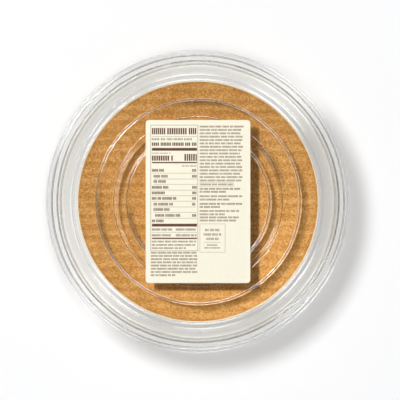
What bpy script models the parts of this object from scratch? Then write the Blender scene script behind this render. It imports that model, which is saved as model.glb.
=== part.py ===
"""A cake in a shut round clear pack, lying with its underside up.

The clear dome's flat top rests on the floor. Above it lie the cake, the corrugated
board that carries the cake, and the ringed clear base with its paper label.
The origin is on the floor, in the middle of the pack. Metres, +Z up.
"""

import math

import bpy
from mathutils import Vector

MM = 0.001

# Driving dimensions
RIM_RADIUS = 113.4 * MM
BOARD_RADIUS = 89.5 * MM
BOARD_THICKNESS = 3.8 * MM
CAKE_RADIUS = 78.0 * MM
CAKE_HEIGHT = 88.0 * MM
LABEL_WIDTH = 77.4 * MM
LABEL_LENGTH = 120.6 * MM
LABEL_THICKNESS = 0.2 * MM
LABEL_CORNER = 2.4 * MM
SHEET = 0.5 * MM
CLEARANCE = 0.3 * MM

# The dome's flat top is a ring to stand on round a shallow recess
RECESS_DEPTH = 2.5 * MM
RECESS_RADIUS = 78.6 * MM
FOOT_INNER_RADIUS = 80.8 * MM
FOOT_OUTER_RADIUS = 92.0 * MM
DOME_NECK_RADIUS = 103.0 * MM

# The base's rings, from the middle outwards
CENTRE_RADIUS = 53.1 * MM
GROOVE_INNER_RADIUS = 54.3 * MM
GROOVE_OUTER_RADIUS = 59.6 * MM
PLATEAU_INNER_RADIUS = 62.5 * MM
PLATEAU_OUTER_RADIUS = 75.6 * MM
LEDGE_INNER_RADIUS = 76.7 * MM
LEDGE_OUTER_RADIUS = 90.3 * MM
STEP_INNER_RADIUS = 91.3 * MM
STEP_OUTER_RADIUS = 93.9 * MM
PLATEAU_RISE = 8.7 * MM
STEP_DROP = 0.7 * MM

# The base's closing rim, from its wall outwards
WALL_FOOT_RADIUS = 102.0 * MM
VALLEY_INNER_RADIUS = 103.15 * MM
VALLEY_OUTER_RADIUS = 103.95 * MM
CROWN_INNER_RADIUS = 104.5 * MM
CROWN_OUTER_RADIUS = 109.5 * MM
BRIM_INNER_RADIUS = 110.1 * MM
BRIM_OUTER_RADIUS = 112.6 * MM
VALLEY_DEPTH = 12.4 * MM
CROWN_RISE = 3.0 * MM
SKIRT_DROP = 2.2 * MM
WALL_FOOT_RISE = 3.2 * MM

# The dome's rim, whose bead fits into the base's rim from below
BEAD_FOOT_INNER_RADIUS = 105.05 * MM
BEAD_INNER_RADIUS = 105.6 * MM
BEAD_OUTER_RADIUS = 108.3 * MM
BEAD_FOOT_OUTER_RADIUS = 108.9 * MM
DOME_BRIM_RADIUS = 112.1 * MM

# Rounded corners of the clear plastic
EDGE_FILLET = 1.2 * MM
RING_FILLET = 0.8 * MM
PLATEAU_INNER_FILLET = 1.5 * MM
RIM_FILLET = 0.65 * MM
VALLEY_FILLET = 0.4 * MM
BEAD_FILLET = 0.35 * MM
NECK_FILLET = 1.2 * MM
DOME_FILLET = 6.0 * MM
RECESS_FILLET = 1.0 * MM

# The icing's rounded edges
ICING_TOP_FILLET = 8.0 * MM
ICING_FOOT_FILLET = 2.5 * MM

TURN_STEPS = 48
CORNER_STEPS = 4
SHARP_ANGLE = math.radians(40)

# Heights, from the floor up
CAKE_LOW = RECESS_DEPTH + SHEET + CLEARANCE
CAKE_HIGH = CAKE_LOW + CAKE_HEIGHT
BOARD_LOW = CAKE_HIGH + CLEARANCE
BOARD_HIGH = BOARD_LOW + BOARD_THICKNESS
LEDGE_TOP = BOARD_HIGH + CLEARANCE + SHEET
PLATEAU_TOP = LEDGE_TOP + PLATEAU_RISE
VALLEY_TOP = LEDGE_TOP - VALLEY_DEPTH
DOME_BRIM_LOW = VALLEY_TOP - 2 * SHEET - CLEARANCE
LABEL_LOW = PLATEAU_TOP + CLEARANCE
LABEL_CENTRE = LABEL_LOW + LABEL_THICKNESS / 2


def clear_scene():
    for thing in list(bpy.data.objects):
        bpy.data.objects.remove(thing)


def new_collection(name):
    collection = bpy.data.collections.new(name)
    bpy.context.scene.collection.children.link(collection)
    return collection


def plain_material(name, colour, roughness, alpha=1.0):
    material = bpy.data.materials.new(name)
    material.use_nodes = True
    shader = material.node_tree.nodes["Principled BSDF"]
    shader.inputs["Base Color"].default_value = (*colour, 1.0)
    shader.inputs["Roughness"].default_value = roughness
    shader.inputs["Metallic"].default_value = 0.0
    shader.inputs["Alpha"].default_value = alpha
    return material


def rounded(corners):
    """Points of a profile whose corners (radius, height, fillet, arc steps) are rounded."""
    points = []
    last = len(corners) - 1
    for index, (radius, height, fillet, steps) in enumerate(corners):
        corner = Vector((radius, height))
        if fillet == 0 or index in (0, last):
            points.append(corner)
            continue
        before = Vector(corners[index - 1][:2]) - corner
        after = Vector(corners[index + 1][:2]) - corner
        half = before.angle(after) / 2
        reach = fillet / math.tan(half)
        middle = (before.normalized() + after.normalized()).normalized()
        centre = corner + middle * fillet / math.sin(half)
        start = corner + before.normalized() * reach - centre
        end = corner + after.normalized() * reach - centre
        sweep = start.angle_signed(end)
        for step in range(steps + 1):
            turn = sweep * step / steps
            arm = Vector((
                start.x * math.cos(turn) + start.y * math.sin(turn),
                start.y * math.cos(turn) - start.x * math.sin(turn),
            ))
            points.append(centre + arm)
    return points


def turned(name, profile, material, collection, wall=0.0):
    """A profile of radii and heights turned about the Z axis, with a wall if it is a shell."""
    mesh = bpy.data.meshes.new(name)
    edges = [(index, index + 1) for index in range(len(profile) - 1)]
    mesh.from_pydata([(point.x, 0.0, point.y) for point in profile], edges, [])
    piece = bpy.data.objects.new(name, mesh)
    collection.objects.link(piece)
    mesh.materials.append(material)
    turn = piece.modifiers.new("Turn", "SCREW")
    turn.axis = "Z"
    turn.steps = TURN_STEPS
    turn.render_steps = TURN_STEPS
    turn.use_merge_vertices = True
    turn.merge_threshold = 0.00001
    turn.use_smooth_shade = True
    if wall:
        shell = piece.modifiers.new("Wall", "SOLIDIFY")
        shell.thickness = wall
        shell.offset = -1.0
        shell.use_even_offset = True
    return piece


def base_profile():
    """The base's outer face, from the centre disc outwards to the skirt of its rim."""
    crown_top = VALLEY_TOP + CROWN_RISE
    return rounded([
        (0.0, PLATEAU_TOP, 0.0, 0),
        (CENTRE_RADIUS, PLATEAU_TOP, EDGE_FILLET, 2),
        (GROOVE_INNER_RADIUS, LEDGE_TOP, RING_FILLET, 2),
        (GROOVE_OUTER_RADIUS, LEDGE_TOP, RING_FILLET, 1),
        (PLATEAU_INNER_RADIUS, PLATEAU_TOP, PLATEAU_INNER_FILLET, 2),
        (PLATEAU_OUTER_RADIUS, PLATEAU_TOP, EDGE_FILLET, 2),
        (LEDGE_INNER_RADIUS, LEDGE_TOP, RING_FILLET, 2),
        (LEDGE_OUTER_RADIUS, LEDGE_TOP, RING_FILLET, 1),
        (STEP_INNER_RADIUS, LEDGE_TOP - STEP_DROP, RING_FILLET, 1),
        (STEP_OUTER_RADIUS, LEDGE_TOP - STEP_DROP, RING_FILLET, 1),
        (WALL_FOOT_RADIUS, VALLEY_TOP + WALL_FOOT_RISE, RING_FILLET, 1),
        (VALLEY_INNER_RADIUS, VALLEY_TOP, VALLEY_FILLET, 1),
        (VALLEY_OUTER_RADIUS, VALLEY_TOP, VALLEY_FILLET, 1),
        (CROWN_INNER_RADIUS, crown_top, RIM_FILLET, 1),
        (CROWN_OUTER_RADIUS, crown_top, RIM_FILLET, 1),
        (BRIM_INNER_RADIUS, VALLEY_TOP, VALLEY_FILLET, 1),
        (BRIM_OUTER_RADIUS, VALLEY_TOP, RIM_FILLET, 1),
        (RIM_RADIUS, VALLEY_TOP - SKIRT_DROP, 0.0, 0),
    ])


def dome_profile():
    """The dome's outer face, from its brim over its bead, down its wall to its flat top's middle."""
    bead_top = DOME_BRIM_LOW + CROWN_RISE
    return rounded([
        (DOME_BRIM_RADIUS, DOME_BRIM_LOW, 0.0, 0),
        (BEAD_FOOT_OUTER_RADIUS, DOME_BRIM_LOW, RIM_FILLET, 1),
        (BEAD_OUTER_RADIUS, bead_top, BEAD_FILLET, 1),
        (BEAD_INNER_RADIUS, bead_top, BEAD_FILLET, 1),
        (BEAD_FOOT_INNER_RADIUS, DOME_BRIM_LOW, RIM_FILLET, 1),
        (DOME_NECK_RADIUS, DOME_BRIM_LOW, NECK_FILLET, 2),
        (FOOT_OUTER_RADIUS, 0.0, DOME_FILLET, 4),
        (FOOT_INNER_RADIUS, 0.0, RECESS_FILLET, 1),
        (RECESS_RADIUS, RECESS_DEPTH, RECESS_FILLET, 1),
        (0.0, RECESS_DEPTH, 0.0, 0),
    ])


def cake_profile():
    """The iced cake upside down: from its foot on the board to its rounded top below."""
    return rounded([
        (0.0, CAKE_HIGH, 0.0, 0),
        (CAKE_RADIUS, CAKE_HIGH, ICING_FOOT_FILLET, 2),
        (CAKE_RADIUS, CAKE_LOW, ICING_TOP_FILLET, 5),
        (0.0, CAKE_LOW, 0.0, 0),
    ])


def make_board(material, collection):
    """The round corrugated board between the cake and the base."""
    bpy.ops.mesh.primitive_cylinder_add(
        vertices=TURN_STEPS,
        radius=BOARD_RADIUS,
        depth=BOARD_THICKNESS,
        location=(0.0, 0.0, (BOARD_LOW + BOARD_HIGH) / 2),
    )
    board = bpy.context.active_object
    board.name = "cake_board"
    board.data.materials.append(material)
    for owner in list(board.users_collection):
        owner.objects.unlink(board)
    collection.objects.link(board)
    board.data.shade_smooth()
    board.data.set_sharp_from_angle(angle=SHARP_ANGLE)
    return board


def make_label(material, collection):
    """The paper label, a flat sheet with rounded corners across the base's two flat rings."""
    outline = []
    for quarter in range(4):
        side_x = (1, -1, -1, 1)[quarter]
        side_y = (1, 1, -1, -1)[quarter]
        centre_x = side_x * (LABEL_WIDTH / 2 - LABEL_CORNER)
        centre_y = side_y * (LABEL_LENGTH / 2 - LABEL_CORNER)
        for step in range(CORNER_STEPS + 1):
            turn = math.radians(90) * (quarter + step / CORNER_STEPS)
            outline.append((
                centre_x + LABEL_CORNER * math.cos(turn),
                centre_y + LABEL_CORNER * math.sin(turn),
            ))
    curve = bpy.data.curves.new("label", "CURVE")
    curve.dimensions = "2D"
    curve.fill_mode = "BOTH"
    curve.extrude = LABEL_THICKNESS / 2
    spline = curve.splines.new("POLY")
    spline.points.add(len(outline) - 1)
    for point, (x, y) in zip(spline.points, outline):
        point.co = (x, y, 0.0, 1.0)
    spline.use_cyclic_u = True
    curve.materials.append(material)
    label = bpy.data.objects.new("label", curve)
    label.location = (0.0, 0.0, LABEL_CENTRE)
    collection.objects.link(label)
    return label


def build():
    clear_scene()
    pack = new_collection("cake_pack")
    clear_plastic = plain_material("clear_plastic", (0.90, 0.92, 0.93), 0.05, 0.35)
    clear_dome = plain_material("clear_dome", (0.90, 0.92, 0.93), 0.05, 0.35)
    kraft = plain_material("kraft_board", (0.56, 0.30, 0.10), 0.9)
    paper = plain_material("label_paper", (0.93, 0.88, 0.74), 0.6)
    icing = plain_material("cream_icing", (0.90, 0.82, 0.68), 0.5)
    turned("base_tray", base_profile(), clear_plastic, pack, wall=SHEET)
    turned("dome_lid", dome_profile(), clear_dome, pack, wall=SHEET)
    turned("cake", cake_profile(), icing, pack)
    make_board(kraft, pack)
    make_label(paper, pack)


build()
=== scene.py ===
"""Looks of a cake in a shut round clear pack that lies with its underside up."""
import math
import random

import bpy
from mathutils import Matrix, Vector, noise


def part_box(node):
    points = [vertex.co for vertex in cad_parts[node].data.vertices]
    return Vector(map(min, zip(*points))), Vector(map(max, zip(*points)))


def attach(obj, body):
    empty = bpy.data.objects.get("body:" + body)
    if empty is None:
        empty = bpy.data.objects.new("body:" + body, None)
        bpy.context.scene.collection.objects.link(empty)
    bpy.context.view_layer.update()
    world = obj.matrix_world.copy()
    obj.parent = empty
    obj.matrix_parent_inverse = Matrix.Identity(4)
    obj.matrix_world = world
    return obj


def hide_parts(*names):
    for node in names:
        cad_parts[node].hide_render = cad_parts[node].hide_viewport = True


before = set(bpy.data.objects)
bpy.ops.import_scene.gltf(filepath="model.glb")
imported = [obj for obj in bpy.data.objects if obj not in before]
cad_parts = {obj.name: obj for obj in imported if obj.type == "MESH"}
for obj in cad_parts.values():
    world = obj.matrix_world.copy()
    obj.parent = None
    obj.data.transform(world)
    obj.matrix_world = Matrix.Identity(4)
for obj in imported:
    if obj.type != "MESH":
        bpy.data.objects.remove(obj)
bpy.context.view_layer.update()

MM = 0.001
TAU = 2 * math.pi

# Sizes of the clear pack
SHEET = 0.5 * MM
RIM_RADIUS = 113.4 * MM
CENTRE_RADIUS = 52.7 * MM
GROOVE_INNER_RADIUS = 54.4 * MM
GROOVE_OUTER_RADIUS = 59.6 * MM
PLATEAU_INNER_RADIUS = 62.5 * MM
PLATEAU_OUTER_RADIUS = 75.4 * MM
LEDGE_INNER_RADIUS = 76.6 * MM
LEDGE_OUTER_RADIUS = 90.3 * MM
STEP_INNER_RADIUS = 91.3 * MM
STEP_OUTER_RADIUS = 93.9 * MM
PLATEAU_RISE = 8.7 * MM
STEP_DROP = 0.7 * MM
WALL_FOOT_RADIUS = 102.0 * MM
VALLEY_INNER_RADIUS = 103.15 * MM
VALLEY_OUTER_RADIUS = 103.95 * MM
CROWN_INNER_RADIUS = 104.5 * MM
CROWN_OUTER_RADIUS = 109.5 * MM
BRIM_INNER_RADIUS = 110.1 * MM
BRIM_OUTER_RADIUS = 112.6 * MM
VALLEY_DEPTH = 12.4 * MM
CROWN_RISE = 3.0 * MM
SKIRT_DROP = 2.2 * MM
WALL_FOOT_RISE = 3.2 * MM
BEAD_FOOT_INNER_RADIUS = 105.05 * MM
BEAD_INNER_RADIUS = 105.6 * MM
BEAD_OUTER_RADIUS = 108.3 * MM
BEAD_FOOT_OUTER_RADIUS = 108.9 * MM
DOME_BRIM_RADIUS = 112.1 * MM
DOME_NECK_RADIUS = 103.0 * MM
FOOT_OUTER_RADIUS = 92.0 * MM
FOOT_INNER_RADIUS = 80.8 * MM
RECESS_RADIUS = 78.6 * MM
RECESS_DEPTH = 2.5 * MM

EDGE_FILLET = 1.0 * MM
RING_FILLET = 0.45 * MM
PLATEAU_INNER_FILLET = 1.0 * MM
RIM_FILLET = 0.65 * MM
VALLEY_FILLET = 0.4 * MM
BEAD_FILLET = 0.35 * MM
NECK_FILLET = 1.2 * MM
DOME_FILLET = 6.0 * MM
RECESS_FILLET = 1.0 * MM

SHELL_SIDES = 256
SHELL_SMOOTHING = 50
FILLET_STEP = math.radians(9)
HUB_RADIUS = 10 * MM
PLASTIC_TINT = (0.935, 0.937, 0.93)

# Where the CAD pieces lie
PLATEAU_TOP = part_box("base_tray")[1].z
LEDGE_TOP = PLATEAU_TOP - PLATEAU_RISE
VALLEY_TOP = LEDGE_TOP - VALLEY_DEPTH
DOME_BRIM_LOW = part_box("dome_lid")[1].z - SHEET - CROWN_RISE
BOARD_LOW, BOARD_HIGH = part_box("cake_board")[0].z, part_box("cake_board")[1].z
BOARD_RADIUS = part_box("cake_board")[1].x
CAKE_LOW, CAKE_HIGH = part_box("cake")[0].z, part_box("cake")[1].z
CAKE_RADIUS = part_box("cake")[1].x
LABEL_LOW, LABEL_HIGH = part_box("label")[0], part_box("label")[1]

# The photograph's frame: a pixel is PIXEL wide at the height SCALE_PLANE
IMAGE_SIDE = 400
PIXEL = 0.7435 * MM
PACK_CENTRE_PIXEL = (198.0, 201.55)
CAMERA_LENS = 300.0
SENSOR = 36.0
SCALE_PLANE = 0.092


# Modelling with Blender's operators

def deselect_all():
    if bpy.context.object and bpy.context.object.mode != "OBJECT":
        bpy.ops.object.mode_set(mode="OBJECT")
    bpy.ops.object.select_all(action="DESELECT")


def make_active(piece):
    deselect_all()
    piece.select_set(True)
    bpy.context.view_layer.objects.active = piece


def apply_place(piece):
    """Leaves the object at the origin, unturned and unscaled, with its place in its mesh."""
    make_active(piece)
    bpy.ops.object.transform_apply(location=True, rotation=True, scale=True)
    return piece


def named(name):
    piece = bpy.context.active_object
    piece.name = name
    piece.data.name = name
    return piece


def apply_modifier(piece, kind, **settings):
    make_active(piece)
    modifier = piece.modifiers.new(kind.title(), kind)
    for key, value in settings.items():
        setattr(modifier, key, value)
    bpy.ops.object.modifier_apply(modifier=modifier.name)
    return piece


def copy_of(mesh, name):
    copy = bpy.data.objects.new(name, mesh)
    bpy.context.scene.collection.objects.link(copy)
    return copy


def join_pieces(pieces, name):
    deselect_all()
    for piece in pieces:
        piece.select_set(True)
    bpy.context.view_layer.objects.active = pieces[0]
    bpy.ops.object.join()
    return named(name)


def shade(piece, degrees=35):
    make_active(piece)
    bpy.ops.object.shade_smooth_by_angle(angle=math.radians(degrees))
    return piece


def finish_piece(piece, material, slot, *nodes):
    """Gives the piece its finish, lets it ride on the pack and stand for its CAD nodes."""
    piece.data.materials.clear()
    piece.data.materials.append(material)
    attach(piece, "root")
    if nodes:
        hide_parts(*nodes)
    return piece


def rounded(corners):
    """Points of a profile whose corners (radius, height, fillet) are rounded by arcs."""
    points = []
    last = len(corners) - 1
    for index, (radius, height, fillet) in enumerate(corners):
        corner = Vector((radius, height))
        if fillet == 0 or index in (0, last):
            points.append(corner)
            continue
        before = Vector(corners[index - 1][:2]) - corner
        after = Vector(corners[index + 1][:2]) - corner
        half = before.angle(after) / 2
        reach = fillet / math.tan(half)
        middle = (before.normalized() + after.normalized()).normalized()
        centre = corner + middle * fillet / math.sin(half)
        start = corner + before.normalized() * reach - centre
        end = corner + after.normalized() * reach - centre
        sweep = start.angle_signed(end)
        steps = max(2, round(abs(sweep) / FILLET_STEP))
        for step in range(steps + 1):
            turn = sweep * step / steps
            points.append(centre + Vector((
                start.x * math.cos(turn) + start.y * math.sin(turn),
                start.y * math.cos(turn) - start.x * math.sin(turn),
            )))
    return points


def turn_by_extrusion(name, profile, sides=SHELL_SIDES, closed=False, hub_faces=1):
    """A disc whose edge is extruded ring by ring along a profile of radii and heights.

    An open sheet's hub then faces up for hub_faces 1 and down for -1.
    """
    deselect_all()
    first = profile[0]
    bpy.ops.mesh.primitive_circle_add(
        vertices=sides, radius=first.x, fill_type="TRIFAN", location=(0, 0, first.y)
    )
    piece = named(name)
    apply_place(piece)
    bpy.ops.object.mode_set(mode="EDIT")
    bpy.ops.mesh.select_mode(type="EDGE")
    bpy.ops.mesh.select_all(action="DESELECT")
    bpy.ops.mesh.select_non_manifold()
    for here, there in zip(profile, profile[1:]):
        bpy.ops.mesh.extrude_region_move(
            TRANSFORM_OT_translate={"value": (0, 0, there.y - here.y)}
        )
        share = there.x / here.x
        bpy.ops.transform.resize(value=(share, share, 1), center_override=(0, 0, 0))
    if closed:
        bpy.ops.mesh.edge_face_add()
        bpy.ops.mesh.poke()
    bpy.ops.mesh.select_all(action="SELECT")
    bpy.ops.mesh.normals_make_consistent(inside=False)
    bpy.ops.object.mode_set(mode="OBJECT")
    if not closed and piece.data.polygons[0].normal.z * hub_faces < 0:
        bpy.ops.object.mode_set(mode="EDIT")
        bpy.ops.mesh.flip_normals()
        bpy.ops.object.mode_set(mode="OBJECT")
    return piece


# Materials

def new_material(name):
    material = bpy.data.materials.new(name)
    material.use_nodes = True
    tree = material.node_tree
    return material, tree, tree.nodes["Principled BSDF"]


def object_place(tree):
    return tree.nodes.new("ShaderNodeTexCoord").outputs["Object"]


def object_coordinates(tree, scale=(1, 1, 1)):
    mapping = tree.nodes.new("ShaderNodeMapping")
    mapping.inputs["Scale"].default_value = scale
    tree.links.new(object_place(tree), mapping.inputs["Vector"])
    return mapping.outputs["Vector"]


def axes_of(tree, vector):
    split = tree.nodes.new("ShaderNodeSeparateXYZ")
    tree.links.new(vector, split.inputs[0])
    return split.outputs


def reach_along(tree, vector, direction):
    """How far a place or a direction reaches along another direction."""
    product = tree.nodes.new("ShaderNodeVectorMath")
    product.operation = "DOT_PRODUCT"
    tree.links.new(vector, product.inputs[0])
    product.inputs[1].default_value = direction
    return product.outputs["Value"]


def map_range(tree, value, start, end, low=0.0, high=1.0):
    """Runs from low at start to high at end, and no further."""
    node = tree.nodes.new("ShaderNodeMapRange")
    tree.links.new(value, node.inputs["Value"])
    for name, limit in (("From Min", start), ("From Max", end), ("To Min", low), ("To Max", high)):
        node.inputs[name].default_value = limit
    return node.outputs["Result"]


def noise_factor(tree, vector, scale, detail=3.0, roughness=0.5):
    grain = tree.nodes.new("ShaderNodeTexNoise")
    grain.inputs["Scale"].default_value = scale
    grain.inputs["Detail"].default_value = detail
    grain.inputs["Roughness"].default_value = roughness
    tree.links.new(vector, grain.inputs["Vector"])
    return grain.outputs["Fac"]


def math_node(tree, operation, first, second=None):
    node = tree.nodes.new("ShaderNodeMath")
    node.operation = operation
    for socket, value in zip(node.inputs, (first, second)):
        if value is None:
            continue
        if isinstance(value, (int, float)):
            socket.default_value = value
        else:
            tree.links.new(value, socket)
    return node.outputs[0]


def ramp(tree, factor, stops):
    """A colour ramp of (position, colour) stops."""
    node = tree.nodes.new("ShaderNodeValToRGB")
    elements = node.color_ramp.elements
    while len(elements) < len(stops):
        elements.new(0.5)
    for element, (position, colour) in zip(elements, stops):
        element.position = position
        element.color = (*colour, 1.0)
    tree.links.new(factor, node.inputs["Fac"])
    return node.outputs["Color"]


def grey(value):
    return (value, value, value)


def mixed(tree, blend, factor, first, second):
    """Two colours mixed; the factor and the colours are values or sockets.

    The node's inputs 6 and 7 are its two colours, and its output 2 is their mix.
    """
    mix = tree.nodes.new("ShaderNodeMix")
    mix.data_type = "RGBA"
    mix.blend_type = blend
    for place, value in (("Factor", factor), (6, first), (7, second)):
        socket = mix.inputs[place]
        if isinstance(value, (int, float)):
            socket.default_value = value
        elif isinstance(value, tuple):
            socket.default_value = (*value, 1.0)
        else:
            tree.links.new(value, socket)
    return mix.outputs[2]


def add_bump(tree, shader, height, strength, distance):
    bump = tree.nodes.new("ShaderNodeBump")
    bump.inputs["Strength"].default_value = strength
    bump.inputs["Distance"].default_value = distance
    tree.links.new(height, bump.inputs["Height"])
    tree.links.new(bump.outputs["Normal"], shader.inputs["Normal"])


def clear_plastic(name, tint):
    """Clear glossy sheet with a faint drawn waviness."""
    material, tree, shader = new_material(name)
    shader.inputs["Base Color"].default_value = (*tint, 1.0)
    shader.inputs["Transmission Weight"].default_value = 1.0
    shader.inputs["IOR"].default_value = 1.57
    vector = object_coordinates(tree)
    haze = noise_factor(tree, vector, 25.0, 1.0, 0.5)
    tree.links.new(map_range(tree, haze, 0, 1, 0.025, 0.04), shader.inputs["Roughness"])
    waves = noise_factor(tree, vector, 35.0, 2.0, 0.4)
    add_bump(tree, shader, waves, 0.008, 0.0004)
    return material


def flute_band(tree, upwards):
    """Runs from 0 to 1 over each flute, downwards, a little wavy along it."""
    drift = noise_factor(tree, object_coordinates(tree), 25.0, 2.0)
    wander = math_node(tree, "MULTIPLY", drift, FLUTE_WANDER)
    height = math_node(tree, "ADD", upwards, wander)
    turns = math_node(tree, "DIVIDE", height, -FLUTE_PITCH)
    return math_node(tree, "FRACT", math_node(tree, "ADD", turns, FLUTE_PHASE))


def kraft_paper():
    """Brown liner: painted shade in bands along the flutes and just inside the edge, grain, specks,
    pale cut edge.
    """
    material, tree, shader = new_material("kraft_liner")
    axes = axes_of(tree, object_place(tree))
    # Painted shade: the bands lighten and darken across each flute as the key light would fall on its
    # wave
    colour = ramp(tree, flute_band(tree, axes["Y"]), [
        (0.0, (0.537, 0.263, 0.07)),
        (0.22, (0.555, 0.277, 0.077)),
        (0.34, (0.55, 0.273, 0.075)),
        (0.52, (0.487, 0.226, 0.055)),
        (0.72, (0.496, 0.231, 0.056)),
        (1.0, (0.537, 0.263, 0.07)),
    ])
    for scale, detail, swing in KRAFT_GRAIN:
        pulp = noise_factor(tree, object_coordinates(tree, GRAIN_STRETCH), scale, detail, 0.6)
        colour = mixed(tree, "MULTIPLY", 1.0, colour, ramp(tree, pulp, [
            (0.3, tuple(1 - share for share in swing)), (0.7, tuple(1 + share for share in swing)),
        ]))
    specks = noise_factor(tree, object_coordinates(tree, GRAIN_STRETCH), 700.0, 2.0, 0.5)
    colour = mixed(tree, "MULTIPLY", 1.0, colour, ramp(tree, specks, [
        (0.26, (0.62, 0.55, 0.5)), (0.36, (1.0, 1.0, 1.0)),
    ]))
    across = math_node(tree, "MULTIPLY", axes["X"], axes["X"])
    along = math_node(tree, "MULTIPLY", axes["Y"], axes["Y"])
    radius = math_node(tree, "SQRT", math_node(tree, "ADD", across, along))
    # Painted shade: a darker ring just inside the board's edge
    edge_shade = ramp(tree, math_node(tree, "DIVIDE", radius, BOARD_RADIUS), [
        (0.972, grey(1.0)), (0.981, grey(0.85)), (0.99, grey(0.95)),
    ])
    colour = mixed(tree, "MULTIPLY", 1.0, colour, edge_shade)
    at_edge = math_node(tree, "GREATER_THAN", radius, BOARD_RADIUS - CUT_EDGE)
    colour = mixed(tree, "MIX", at_edge, colour, CUT_EDGE_COLOUR)
    tree.links.new(colour, shader.inputs["Base Color"])
    shader.inputs["Roughness"].default_value = 0.85
    shader.inputs["Specular IOR Level"].default_value = 0.25
    add_bump(tree, shader, pulp, 0.12, 0.0002)
    return material


def label_stock():
    """Smooth cream paper with a faint fibre."""
    material, tree, shader = new_material("label_stock")
    fibre = noise_factor(tree, object_coordinates(tree), 500.0, 4.0, 0.6)
    colour = ramp(tree, fibre, [(0.3, (0.81, 0.765, 0.61)), (0.7, (0.835, 0.79, 0.635))])
    tree.links.new(colour, shader.inputs["Base Color"])
    shader.inputs["Roughness"].default_value = 0.6
    shader.inputs["Specular IOR Level"].default_value = 0.3
    add_bump(tree, shader, fibre, 0.08, 0.0001)
    return material


def print_ink(name, dark, pale):
    """Ink on paper, a little uneven."""
    material, tree, shader = new_material(name)
    cover = noise_factor(tree, object_coordinates(tree), 900.0, 3.0, 0.6)
    colour = ramp(tree, cover, [(0.3, dark), (0.75, pale)])
    tree.links.new(colour, shader.inputs["Base Color"])
    shader.inputs["Roughness"].default_value = 0.7
    shader.inputs["Specular IOR Level"].default_value = 0.2
    return material


def spread_icing():
    """Cream icing with a faint mottle and a soft sheen."""
    material, tree, shader = new_material("spread_icing")
    vector = object_coordinates(tree)
    mottle = noise_factor(tree, vector, 90.0, 4.0, 0.55)
    colour = ramp(tree, mottle, [(0.3, (0.93, 0.83, 0.64)), (0.7, (0.97, 0.89, 0.72))])
    tree.links.new(colour, shader.inputs["Base Color"])
    shader.inputs["Roughness"].default_value = 0.5
    shader.inputs["Subsurface Weight"].default_value = 0.15
    shader.inputs["Subsurface Scale"].default_value = 0.003
    shader.inputs["Subsurface Radius"].default_value = (1.0, 0.8, 0.5)
    fine = noise_factor(tree, vector, 700.0, 3.0, 0.6)
    add_bump(tree, shader, fine, 0.2, 0.0003)
    return material


def velvet_crumb():
    """Moist dark red sponge."""
    material, tree, shader = new_material("velvet_crumb")
    vector = object_coordinates(tree)
    mottle = noise_factor(tree, vector, 260.0, 3.0, 0.6)
    colour = ramp(tree, mottle, [(0.25, (0.10, 0.008, 0.008)), (0.75, (0.27, 0.022, 0.018))])
    tree.links.new(colour, shader.inputs["Base Color"])
    shader.inputs["Roughness"].default_value = 0.8
    add_bump(tree, shader, noise_factor(tree, vector, 1500.0, 3.0), 0.5, 0.0003)
    return material


# The clear shells

def base_profile():
    """The base's upper face, from its hub out to the skirt of its rim."""
    crown_top = VALLEY_TOP + CROWN_RISE
    return rounded([
        (HUB_RADIUS, PLATEAU_TOP, 0),
        (CENTRE_RADIUS, PLATEAU_TOP, EDGE_FILLET),
        (GROOVE_INNER_RADIUS, LEDGE_TOP, RING_FILLET),
        (GROOVE_OUTER_RADIUS, LEDGE_TOP, RING_FILLET),
        (PLATEAU_INNER_RADIUS, PLATEAU_TOP, PLATEAU_INNER_FILLET),
        (PLATEAU_OUTER_RADIUS, PLATEAU_TOP, EDGE_FILLET),
        (LEDGE_INNER_RADIUS, LEDGE_TOP, RING_FILLET),
        (LEDGE_OUTER_RADIUS, LEDGE_TOP, RING_FILLET),
        (STEP_INNER_RADIUS, LEDGE_TOP - STEP_DROP, RING_FILLET),
        (STEP_OUTER_RADIUS, LEDGE_TOP - STEP_DROP, RING_FILLET),
        (WALL_FOOT_RADIUS, VALLEY_TOP + WALL_FOOT_RISE, RING_FILLET),
        (VALLEY_INNER_RADIUS, VALLEY_TOP, VALLEY_FILLET),
        (VALLEY_OUTER_RADIUS, VALLEY_TOP, VALLEY_FILLET),
        (CROWN_INNER_RADIUS, crown_top, RIM_FILLET),
        (CROWN_OUTER_RADIUS, crown_top, RIM_FILLET),
        (BRIM_INNER_RADIUS, VALLEY_TOP, VALLEY_FILLET),
        (BRIM_OUTER_RADIUS, VALLEY_TOP, RIM_FILLET),
        (RIM_RADIUS, VALLEY_TOP - SKIRT_DROP, 0),
    ])


def finish_shell(shell, sheet_name, slot, node):
    """Thickens the sheet away from its outer face and gives it its clear plastic.

    Light that comes off dull surfaces doesn't meet it.
    """
    apply_modifier(shell, "SOLIDIFY", thickness=SHEET, offset=-1.0, use_even_offset=True)
    shade(shell, SHELL_SMOOTHING)
    finish_piece(shell, clear_plastic(sheet_name, PLASTIC_TINT), slot, node)
    shell.visible_diffuse = False
    return shell


def make_base_shell():
    shell = turn_by_extrusion("base_shell", base_profile(), hub_faces=1)
    return finish_shell(shell, "clear_base_sheet", "clear_base", "base_tray")


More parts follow.
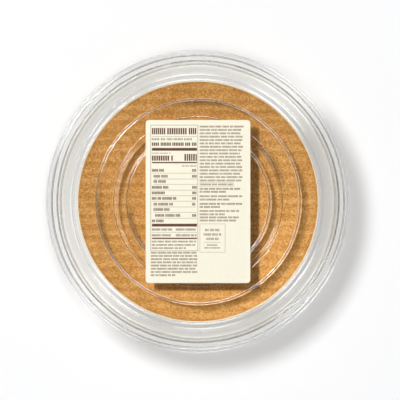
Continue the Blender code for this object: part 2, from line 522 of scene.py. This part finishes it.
def make_dome_shell():
    """Modelled from its flat top's middle, near the floor, up its wall to its bead and brim."""
    profile = rounded([
        (HUB_RADIUS, RECESS_DEPTH, 0),
        (RECESS_RADIUS, RECESS_DEPTH, RECESS_FILLET),
        (FOOT_INNER_RADIUS, 0.0, RECESS_FILLET),
        (FOOT_OUTER_RADIUS, 0.0, DOME_FILLET),
        (DOME_NECK_RADIUS, DOME_BRIM_LOW, NECK_FILLET),
        (BEAD_FOOT_INNER_RADIUS, DOME_BRIM_LOW, RIM_FILLET),
        (BEAD_INNER_RADIUS, DOME_BRIM_LOW + CROWN_RISE, BEAD_FILLET),
        (BEAD_OUTER_RADIUS, DOME_BRIM_LOW + CROWN_RISE, BEAD_FILLET),
        (BEAD_FOOT_OUTER_RADIUS, DOME_BRIM_LOW, RIM_FILLET),
        (DOME_BRIM_RADIUS, DOME_BRIM_LOW, 0),
    ])
    shell = turn_by_extrusion("dome_shell", profile, hub_faces=-1)
    return finish_shell(shell, "clear_dome_sheet", "clear_dome", "dome_lid")


# The corrugated board

FLUTE_PITCH = 7.73 * MM
FLUTE_PHASE = 0.3
FLUTE_STEPS = 12
FLUTE_WANDER = 1.2 * MM
FLUTE_SHEET = 0.25 * MM
FLUTE_INSET = 0.2 * MM
FLUTE_CLEARANCE = 0.3 * MM
LINER = 0.35 * MM
LINER_WAVE = 0.06 * MM
LINER_ROUNDING = 0.1 * MM
CUT_EDGE = 0.5 * MM
CUT_EDGE_COLOUR = (0.86, 0.74, 0.54)
BOARD_SIDES = 192
CUTTER_DEPTH = 20 * MM
UNCUT_SIDE = 2.04 * BOARD_RADIUS
GRAIN_STRETCH = (0.8, 1.0, 1.0)

# Noise scale, detail and colour swing of the liner's blotches, clouds and grain
KRAFT_GRAIN = [
    (90.0, 3.0, (0.08, 0.12, 0.24)),
    (260.0, 3.0, (0.05, 0.07, 0.12)),
    (1000.0, 2.0, (0.36, 0.46, 0.68)),
]


def waved_sheet(name, middle, wave, thickness, radius):
    """A thin sheet with a wave across it, cut round."""
    steps = round(2 * BOARD_RADIUS / FLUTE_PITCH * FLUTE_STEPS)
    deselect_all()
    bpy.ops.mesh.primitive_grid_add(
        x_subdivisions=1, y_subdivisions=steps, size=UNCUT_SIDE, location=(0, 0, middle)
    )
    sheet = apply_place(named(name))
    for vertex in sheet.data.vertices:
        turn = TAU * (FLUTE_PHASE - vertex.co.y / FLUTE_PITCH)
        vertex.co.z = middle - wave * math.cos(turn)
    apply_modifier(sheet, "SOLIDIFY", thickness=thickness, offset=0.0)
    deselect_all()
    bpy.ops.mesh.primitive_cylinder_add(
        vertices=BOARD_SIDES, radius=radius, depth=CUTTER_DEPTH, location=(0, 0, middle)
    )
    cutter = apply_place(named("cutter"))
    apply_modifier(sheet, "BOOLEAN", operation="INTERSECT", solver="EXACT", object=cutter)
    bpy.data.objects.remove(cutter)
    return sheet


def make_board():
    """Two liners with a fluted sheet between them; the upper one shows the flutes faintly."""
    deselect_all()
    bpy.ops.mesh.primitive_cylinder_add(
        vertices=BOARD_SIDES, radius=BOARD_RADIUS, depth=LINER,
        location=(0, 0, BOARD_LOW + LINER / 2),
    )
    lower = named("lower_liner")
    apply_modifier(
        apply_place(lower), "BEVEL", width=LINER_ROUNDING, segments=2, limit_method="ANGLE"
    )
    middle = (BOARD_LOW + BOARD_HIGH) / 2
    rise = (BOARD_HIGH - BOARD_LOW) / 2 - LINER - FLUTE_CLEARANCE
    flute = waved_sheet("flute", middle, rise, FLUTE_SHEET, BOARD_RADIUS - FLUTE_INSET)
    upper_middle = BOARD_HIGH - LINER / 2 - LINER_WAVE
    upper = waved_sheet("upper_liner", upper_middle, LINER_WAVE, LINER, BOARD_RADIUS)
    board = join_pieces([lower, flute, upper], "corrugated_board")
    shade(board, 40)
    return finish_piece(board, kraft_paper(), "kraft_board", "cake_board")


# The label and its print

LABEL_CORNER = 2.4 * MM
INK_LIFT = 0.03 * MM
LAYOUT_WIDTH = 78.0
GAP_AFTER_GROUP = 0.7


def make_label():
    deselect_all()
    bpy.ops.mesh.primitive_plane_add(size=1, location=(0, 0, LABEL_LOW.z))
    label = named("paper_label")
    label.scale = (LABEL_HIGH.x - LABEL_LOW.x, LABEL_HIGH.y - LABEL_LOW.y, 1)
    apply_place(label)
    bpy.ops.object.mode_set(mode="EDIT")
    bpy.ops.mesh.select_all(action="SELECT")
    bpy.ops.mesh.bevel(offset=LABEL_CORNER, segments=8, affect="VERTICES")
    bpy.ops.object.mode_set(mode="OBJECT")
    thickness = LABEL_HIGH.z - LABEL_LOW.z
    apply_modifier(label, "SOLIDIFY", thickness=thickness, offset=1.0)
    return finish_piece(label, label_stock(), "label_paper", "label")


class PrintShop:
    """Collects marks of print, placed from the top left corner of a layout LAYOUT_WIDTH wide.

    Places run right and down. Ticks are given by their left and right ends, middle and height.
    """

    def __init__(self, seed):
        self.draw = random.Random(seed)
        self.marks = []

    def bar(self, left, top, right, bottom):
        self.marks.append((left, top, right, bottom))

    def rule(self, left, right, middle, thickness=0.2):
        self.bar(left, middle - thickness / 2, right, middle + thickness / 2)

    def frame(self, left, top, right, bottom, thickness=0.2):
        self.bar(left, top, right, top + thickness)
        self.bar(left, bottom - thickness, right, bottom)
        self.bar(left, top, left + thickness, bottom)
        self.bar(right - thickness, top, right, bottom)

    def ticks(self, left, right, middle, height, pitch=0.85, weight=0.6):
        """Groups of equal upright ticks, with a gap after each group."""
        place = left
        while place < right - pitch:
            step = pitch * self.draw.uniform(0.85, 1.15)
            for _ in range(self.draw.randint(3, 9)):
                if place > right - step * weight:
                    break
                self.bar(place, middle - height / 2, place + step * weight, middle + height / 2)
                place += step
            place += step * GAP_AFTER_GROUP

    def make(self, name, material):
        """Each mark is the same thin block, copied at its own size and place."""
        deselect_all()
        bpy.ops.mesh.primitive_cube_add(size=1)
        block = named("print_block")
        low = LABEL_HIGH.z - INK_LIFT / 3
        unit = (LABEL_HIGH.x - LABEL_LOW.x) / LAYOUT_WIDTH
        copies = []
        for left, top, right, bottom in self.marks:
            mesh = block.data.copy()
            size = Matrix.Diagonal(((right - left) * unit, (bottom - top) * unit, INK_LIFT, 1))
            middle = Vector((
                LABEL_LOW.x + (left + right) / 2 * unit,
                LABEL_HIGH.y - (top + bottom) / 2 * unit,
                low + INK_LIFT / 2,
            ))
            mesh.transform(Matrix.Translation(middle) @ size)
            copies.append(copy_of(mesh, "mark"))
        bpy.data.objects.remove(block)
        return finish_piece(join_pieces(copies, name), material, "label_ink")


def print_panel(heavy, fine):
    """The framed panel at the left: headings, thick bars and ruled rows."""
    left, right = 4.7, 38.3
    heavy.frame(3.7, 3.7, 39.0, 97.6, 0.25)
    heavy.ticks(left, right, 8.3, 4.7, 1.5, 0.7)
    fine.rule(left, right, 12.3, 0.2)
    fine.ticks(left, 34.6, 14.3, 1.7, 1.05, 0.5)
    heavy.ticks(left, right, 18.0, 2.5, 1.25, 0.72)
    heavy.bar(left, 20.8, right, 22.9)
    heavy.ticks(left, 18.9, 24.75, 0.9, 0.7, 0.45)
    heavy.ticks(left, 21.0, 28.4, 3.8, 1.45, 0.72)
    for block in range(3):
        start = 28.9 + 3.25 * block
        heavy.bar(start, 25.3, start + 1.2, 30.4)
        heavy.bar(start + 1.75, 25.3, start + 2.7, 30.4)
    heavy.bar(left, 31.2, right, 32.2)
    heavy.ticks(27.1, right, 34.2, 1.1, 0.8, 0.5)
    rows = [
        (37.5, 0.0, 9.0, True), (41.9, 1.2, 11.0, True), (45.8, 1.2, 9.5, False),
        (50.2, 0.0, 13.0, True), (54.3, 0.0, 11.0, True), (58.4, 0.0, 19.0, True),
        (62.7, 1.2, 15.0, True), (66.7, 1.2, 13.0, False), (71.1, 2.4, 19.0, True),
        (75.2, 0.0, 9.0, False),
    ]
    for middle, indent, length, share in rows:
        press = fine if indent > 0 else heavy
        press.ticks(left + indent, left + indent + length, middle, 2.0, 0.95, 0.7)
        if share:
            heavy.ticks(34.7, right, middle, 2.0, 0.95, 0.7)
        if middle < 75:
            fine.rule(left + indent, right, middle + 2.1)
    heavy.bar(left, 77.3, right, 79.4)
    for middle in (81.6, 85.9):
        fine.ticks(left, 20.0, middle, 1.6)
        fine.ticks(22.5, right, middle, 1.6)
    fine.rule(left, right, 83.7)
    heavy.bar(left, 87.7, right, 88.7)
    for middle, end in ((90.6, 38.0), (93.1, 38.0), (95.5, 30.0)):
        fine.ticks(left, end, middle, 1.3)
    for line in range(8):
        fine.ticks(3.9, 38.6 if line < 7 else 22.0, 98.9 + 2.39 * line, 1.4)


def print_column(heavy, fine):
    """The rows at the right, and the small framed block below them."""
    column, end = 40.3, 72.9
    for line in range(17):
        fine.ticks(column, end - (line % 3), 4.9 + 2.51 * line, 1.4)
    heavy.frame(column, 46.6, 65.6, 49.4, 0.15)
    fine.ticks(column + 0.6, 65.0, 48.0, 1.3)
    for middle, stop in ((51.3, 71.0), (53.5, 60.0), (62.5, 72.5), (64.8, 57.0)):
        heavy.ticks(column, stop, middle, 1.4)
    lower_rows = ((56.8, 72.0), (59.3, 63.0), (67.8, 70.0), (70.3, 59.0), (72.6, 70.0), (74.9, 68.0))
    for middle, stop in lower_rows:
        fine.ticks(column, stop, middle, 1.4)
    fine.frame(column, 77.3, 59.3, 98.6, 0.2)
    for middle, half in ((82.0, 5.5), (85.3, 6.5), (88.6, 4.5)):
        heavy.ticks(49.8 - half, 49.8 + half, middle, 1.8, 0.95, 0.5)
    fine.rule(43.5, 56.1, 91.2)
    for middle, half in ((93.2, 4.0), (95.3, 6.0)):
        fine.ticks(49.8 - half, 49.8 + half, middle, 1.0)


def make_print():
    heavy, fine = PrintShop(11), PrintShop(23)
    print_panel(heavy, fine)
    print_column(heavy, fine)
    dark_ink = print_ink("brown_ink", (0.085, 0.032, 0.018), (0.13, 0.055, 0.032))
    fine_ink = print_ink("brown_ink_fine", (0.13, 0.07, 0.04), (0.18, 0.1, 0.06))
    return [heavy.make("print_heavy", dark_ink), fine.make("print_fine", fine_ink)]


# The cake

ICING_TOP_FILLET = 8.0 * MM
ICING_FOOT_FILLET = 2.5 * MM
ICING_RELIEF = 0.7 * MM
ICING_ROWS = 44
CAKE_SIDES = 192
CAKE_HUB_RADIUS = 8 * MM
TOP_RING_RADII = (30 * MM, 52 * MM)
FOOT_RING_RADIUS = 40 * MM

# The icing's ridges and swells move nothing within this share of the cake's radius
STILL_SHARE = 0.6

# The crumbs start this far from the cake's foot, and two thirds lie within this reach of there
CRUMB_MARGIN = 2 * MM
CRUMB_REACH = 14 * MM
CRUMB_COUNT = 1500


def icing_surface(angle, height):
    """How far the spread icing stands in from its full radius, in low ridges and broad swells."""
    ridge = noise.noise(Vector((math.cos(angle) * 1.4, math.sin(angle) * 1.4, height * 420)))
    swell = noise.noise(Vector((math.cos(angle) * 3 + 9, math.sin(angle) * 3, height * 60)))
    return ICING_RELIEF * (0.5 + 0.3 * ridge + 0.2 * swell)


def make_cake():
    """The cake's top is its lower end here, because the pack lies with its underside up."""
    low, high = CAKE_LOW + ICING_TOP_FILLET, CAKE_HIGH - ICING_FOOT_FILLET
    side = [
        (CAKE_RADIUS, low + (high - low) * row / ICING_ROWS, 0) for row in range(1, ICING_ROWS)
    ]
    profile = rounded([
        (CAKE_HUB_RADIUS, CAKE_LOW, 0),
        *((radius, CAKE_LOW, 0) for radius in TOP_RING_RADII),
        (CAKE_RADIUS, CAKE_LOW, ICING_TOP_FILLET),
        *side,
        (CAKE_RADIUS, CAKE_HIGH, ICING_FOOT_FILLET),
        (FOOT_RING_RADIUS, CAKE_HIGH, 0),
        (CAKE_HUB_RADIUS, CAKE_HIGH, 0),
    ])
    cake = turn_by_extrusion("iced_cake", profile, CAKE_SIDES, closed=True)
    for vertex in cake.data.vertices:
        place = vertex.co
        radius = math.hypot(place.x, place.y)
        if radius < CAKE_RADIUS * STILL_SHARE:
            continue
        inward = icing_surface(math.atan2(place.y, place.x), place.z) / radius
        place.x -= place.x * inward
        place.y -= place.y * inward
    shade(cake, 60)
    return finish_piece(cake, spread_icing(), "cream_icing", "cake")


def make_crumbs():
    """Crumbs pressed into the side near the board, fewer towards the cake's top."""
    draw = random.Random(5)
    deselect_all()
    bpy.ops.mesh.primitive_ico_sphere_add(subdivisions=1, radius=1)
    seed_crumb = named("crumb_seed")
    copies = []
    for _ in range(CRUMB_COUNT):
        angle = draw.uniform(0, TAU)
        height = CAKE_HIGH - CRUMB_MARGIN - abs(draw.gauss(0, 1)) * CRUMB_REACH
        if height < CAKE_LOW + ICING_TOP_FILLET:
            continue
        size = draw.uniform(0.5, 1.5) * MM * draw.uniform(0.6, 1.0)
        mesh = seed_crumb.data.copy()
        for vertex in mesh.vertices:
            vertex.co *= draw.uniform(0.65, 1.2)
        radius = CAKE_RADIUS - icing_surface(angle, height) + size * 0.25
        about_z = Matrix.Rotation(draw.uniform(0, TAU), 4, "Z")
        about_x = Matrix.Rotation(draw.uniform(0, TAU), 4, "X")
        place = Vector((radius * math.cos(angle), radius * math.sin(angle), height))
        mesh.transform(Matrix.Translation(place) @ about_z @ about_x @ Matrix.Scale(size, 4))
        copies.append(copy_of(mesh, "crumb"))
    bpy.data.objects.remove(seed_crumb)
    return finish_piece(join_pieces(copies, "cake_crumbs"), velvet_crumb(), "red_crumb")


# Floor, light and camera

FLOOR_SIDE = 8
FLOOR_DROP = 0.2 * MM

# How much light the rings' walls take at their tops, and how much more at their feet
RING_SHADE_TOP = 0.35
RING_SHADE_FALL = 0.6

# How much light the two plain flags pass, and their sizes
UNDER_PASS = 0.45
UNDER_MARGIN = 1 * MM
RIM_PASS = 0.1
CRESCENT_WIDTH = 12.6 * MM


def make_floor():
    deselect_all()
    bpy.ops.mesh.primitive_plane_add(size=FLOOR_SIDE, location=(0, 0, -FLOOR_DROP))
    floor = named("floor")
    material, _, shader = new_material("pale_floor")
    shader.inputs["Base Color"].default_value = (0.9, 0.9, 0.9, 1)
    shader.inputs["Roughness"].default_value = 1.0
    shader.inputs["Specular IOR Level"].default_value = 0.0
    floor.data.materials.append(material)
    return floor


def shade_film(flag):
    """Makes the piece a flag that only the lights meet.

    The share of light that it passes is set or linked on the returned colour.
    """
    material = bpy.data.materials.new(flag.name)
    material.use_nodes = True
    tree = material.node_tree
    tree.nodes.remove(tree.nodes["Principled BSDF"])
    film = tree.nodes.new("ShaderNodeBsdfTransparent")
    tree.links.new(film.outputs[0], tree.nodes["Material Output"].inputs["Surface"])
    flag.data.materials.append(material)
    flag.visible_camera = False
    flag.visible_diffuse = False
    flag.visible_glossy = False
    flag.visible_transmission = False
    flag.visible_volume_scatter = False
    return tree, film.inputs["Color"]


def make_ring_shade():
    """A flag of the base's own form that dims the key light in steep walls, more at their feet."""
    flag = turn_by_extrusion("ring_shade", base_profile(), hub_faces=1)
    shade(flag, SHELL_SMOOTHING)
    tree, film_colour = shade_film(flag)
    weight = tree.nodes.new("ShaderNodeLayerWeight")
    weight.inputs["Blend"].default_value = 0.5
    steep = ramp(tree, weight.outputs["Facing"], [(0.3, grey(0.0)), (0.42, grey(1.0))])
    depth = map_range(tree, axes_of(tree, object_place(tree))["Z"], PLATEAU_TOP, LEDGE_TOP)
    falling = math_node(tree, "MULTIPLY", depth, RING_SHADE_FALL)
    dimmed = math_node(tree, "ADD", falling, RING_SHADE_TOP)
    passed = math_node(tree, "SUBTRACT", 1.0, math_node(tree, "MULTIPLY", steep, dimmed))
    tree.links.new(passed, film_colour)
    return flag


def flat_flag(name, radius, fill):
    """A round flag at the height of the pack's rim."""
    deselect_all()
    bpy.ops.mesh.primitive_circle_add(
        vertices=SHELL_SIDES, radius=radius, fill_type=fill, location=(0, 0, VALLEY_TOP)
    )
    return apply_place(named(name))


def make_under_shade():
    """A flag that dims the light from above within the pack's wall."""
    flag = flat_flag("under_shade", WALL_FOOT_RADIUS - UNDER_MARGIN, "TRIFAN")
    _, film_colour = shade_film(flag)
    film_colour.default_value = (*grey(UNDER_PASS), 1.0)
    return flag


def make_rim_shade():
    """A crescent flag that dims the key light on the floor under the rim at the upper left."""
    flag = flat_flag("rim_shade", RIM_RADIUS, "NOTHING")
    bpy.ops.object.mode_set(mode="EDIT")
    bpy.ops.mesh.select_all(action="SELECT")
    bpy.ops.mesh.extrude_region_move(
        TRANSFORM_OT_translate={"value": direction_from(90, 135) * CRESCENT_WIDTH}
    )
    bpy.ops.object.mode_set(mode="OBJECT")
    _, film_colour = shade_film(flag)
    film_colour.default_value = (*grey(RIM_PASS), 1.0)
    return flag


def make_floor_shade():
    """A flag of the pack's outline that shades the floor.

    It stops all light in its half away from the key light and part of it in the other half.
    """
    flag = flat_flag("floor_shade", RIM_RADIUS, "TRIFAN")
    tree, film_colour = shade_film(flag)
    across = reach_along(tree, object_place(tree), direction_from(90, 315) / (2 * RIM_RADIUS))
    passed = ramp(tree, math_node(tree, "ADD", across, 0.5), [
        (0.02, grey(0.3)), (0.14, grey(0.5)), (0.38, grey(0.9)),
        (0.44, grey(0.8)), (0.54, grey(0.0)),
    ])
    tree.links.new(passed, film_colour)
    return flag


def glow(tree, looking, zenith, azimuth, reach, strength):
    """A soft round glow in the studio's walls, brightest in one direction."""
    along = reach_along(tree, looking, direction_from(zenith, azimuth))
    return map_range(tree, along, math.cos(math.radians(reach)), 1.0, 0.0, strength)


# Zenith, azimuth and reach in degrees, and strength, of the soft boxes that the plastic mirrors
SOFT_BOXES = [
    (30, 140, 22, 1.2), (46, 140, 22, 1.2), (41, 141, 16, 44), (30, 95, 22, 1.0),
    (78, 95, 22, 4.5), (30, 50, 22, 1.5), (46, 50, 22, 3.0), (78, 50, 22, 7.5),
    (46, 5, 22, 4.5), (30, 320, 22, 2.5), (46, 320, 22, 9.0), (41, 318, 12, 14),
    (92, 320, 22, 2.5), (46, 275, 22, 10.0), (30, 230, 22, 1.4), (46, 230, 22, 3.2),
    (78, 230, 22, 7.0), (92, 185, 22, 1.5), (78, 275, 22, 4.0), (78, 320, 22, 4.0),
]

# The sky is brighter towards this side, by this share
SKY_LEAN_AZIMUTH = 290
SKY_LEAN = 0.3


def make_world():
    """A pale studio under a leaning sky, in which the plastic mirrors a ring of soft boxes."""
    world = bpy.data.worlds.new("studio")
    bpy.context.scene.world = world
    world.use_nodes = True
    tree = world.node_tree
    looking = tree.nodes.new("ShaderNodeTexCoord").outputs["Generated"]
    upwards = axes_of(tree, looking)["Z"]
    sky = ramp(tree, upwards, [
        (0.0, (0.95, 0.96, 0.97)), (0.45, (0.75, 0.76, 0.78)),
        (0.85, (0.25, 0.26, 0.28)), (1.0, (0.12, 0.12, 0.13)),
    ])
    lean = reach_along(tree, looking, direction_from(90, SKY_LEAN_AZIMUTH) * SKY_LEAN)
    sky = mixed(tree, "MULTIPLY", 1.0, sky, math_node(tree, "ADD", lean, 1.0))
    mirrored = ramp(tree, upwards, [
        (0.0, grey(0.6)), (0.1, grey(0.4)), (0.25, grey(0.05)), (1.0, grey(0.02)),
    ])
    for box in SOFT_BOXES:
        mirrored = mixed(tree, "ADD", 1.0, mirrored, glow(tree, looking, *box))
    path = tree.nodes.new("ShaderNodeLightPath")
    colour = mixed(tree, "MIX", path.outputs["Is Glossy Ray"], sky, mirrored)
    colour = mixed(tree, "MIX", path.outputs["Is Camera Ray"], colour, (1.0, 1.0, 1.0))
    background = tree.nodes["Background"]
    tree.links.new(colour, background.inputs["Color"])


def collection_of(name, pieces):
    collection = bpy.data.collections.new(name)
    for piece in pieces:
        collection.objects.link(piece)
    return collection


def direction_from(zenith, azimuth):
    """A direction towards a light; azimuth 0 is the image's right and 90 its top."""
    zenith, azimuth = math.radians(zenith), math.radians(azimuth)
    return Vector((
        math.sin(zenith) * math.cos(azimuth),
        math.sin(zenith) * math.sin(azimuth),
        math.cos(zenith),
    ))


def place_light(name, data, power, direction, distance, target, receivers, blockers):
    """Hangs the light off its target, to light only its receivers and be stopped only by blockers."""
    data.energy = power
    light = bpy.data.objects.new(name, data)
    bpy.context.scene.collection.objects.link(light)
    light.location = direction * distance + Vector(target)
    light.rotation_euler = (-direction).to_track_quat("-Z", "Y").to_euler()
    light.light_linking.receiver_collection = receivers
    light.light_linking.blocker_collection = blockers
    return light


def area_light(name, direction, distance, size, power, receivers, blockers):
    """A soft rectangular light that looks at the middle of the pack."""
    data = bpy.data.lights.new(name, "AREA")
    data.shape = "RECTANGLE"
    data.size, data.size_y = size
    return place_light(name, data, power, direction, distance, PACK_MIDDLE, receivers, blockers)


def spot_light(name, direction, distance, target, patch, power, receivers, blockers):
    """A spot for a round patch about its target, given by its radius, soft share and lamp radius."""
    data = bpy.data.lights.new(name, "SPOT")
    radius, data.spot_blend, data.shadow_soft_size = patch
    data.spot_size = 2 * math.atan(radius / distance)
    return place_light(name, data, power, direction, distance, target, receivers, blockers)


# What the lights look at
PACK_MIDDLE = (0, 0, 0.08)
UNDER_PACK = (0, 0, 0)
LOWER_RIGHT = (0.045, -0.06, BOARD_HIGH)


def make_lights(board, flat, cake, floor):
    """The key lights the contents through the base; the floor has lights and shadows of its own."""
    inside = [board, *flat, *cake]
    contents = collection_of("lit_inside", [board, *flat])
    only_board = collection_of("lit_board", [board])
    stage = collection_of("lit_floor", [floor])
    core = collection_of("casts_inside", inside)
    through_base = collection_of("casts_through_base", inside + [make_ring_shade()])
    on_floor = collection_of("casts_on_floor", inside + [make_floor_shade(), make_rim_shade()])
    from_above = collection_of("casts_from_above", inside + [make_under_shade()])
    nothing = collection_of("casts_none", [floor])
    key_side = direction_from(41, 140)
    board_patch = (0.115, 1.0, 0.07)
    left_patch = (0.114, 0.03, 0.01)
    under_patch = (0.115, 0.03, 0.004)
    area_light("key", key_side, 3.2, (0.72, 0.45), 88, contents, through_base)
    spot_light("board_spot", key_side, 1.5, LOWER_RIGHT, board_patch, 90, only_board, through_base)
    area_light("floor_key", direction_from(12, 135), 2.0, (0.35, 0.35), 22.3, stage, on_floor)
    area_light("floor_fill", direction_from(5, 135), 2.5, (0.3, 0.3), 9.4, stage, nothing)
    spot_light("floor_spot", direction_from(12, 160), 2.0, UNDER_PACK, left_patch, 14, stage, core)
    overhead = direction_from(0, 0)
    spot_light("floor_under", overhead, 2.5, UNDER_PACK, under_patch, 108, stage, from_above)


def make_camera():
    data = bpy.data.cameras.new("camera")
    data.lens = CAMERA_LENS
    data.sensor_width = SENSOR
    data.clip_end = 20
    camera = bpy.data.objects.new("camera", data)
    bpy.context.scene.collection.objects.link(camera)
    bpy.context.scene.camera = camera
    distance = IMAGE_SIDE * PIXEL / 2 / (SENSOR / 2 / CAMERA_LENS)
    aside = (IMAGE_SIDE / 2 - PACK_CENTRE_PIXEL[0]) * PIXEL
    above = (PACK_CENTRE_PIXEL[1] - IMAGE_SIDE / 2) * PIXEL
    camera.location = (aside, above, SCALE_PLANE + distance)


make_base_shell()
make_dome_shell()
board = make_board()
label_and_print = [make_label(), *make_print()]
cake_and_crumbs = [make_cake(), make_crumbs()]
make_world()
make_lights(board, label_and_print, cake_and_crumbs, make_floor())
make_camera()
bpy.context.scene.view_settings.view_transform = "Standard"
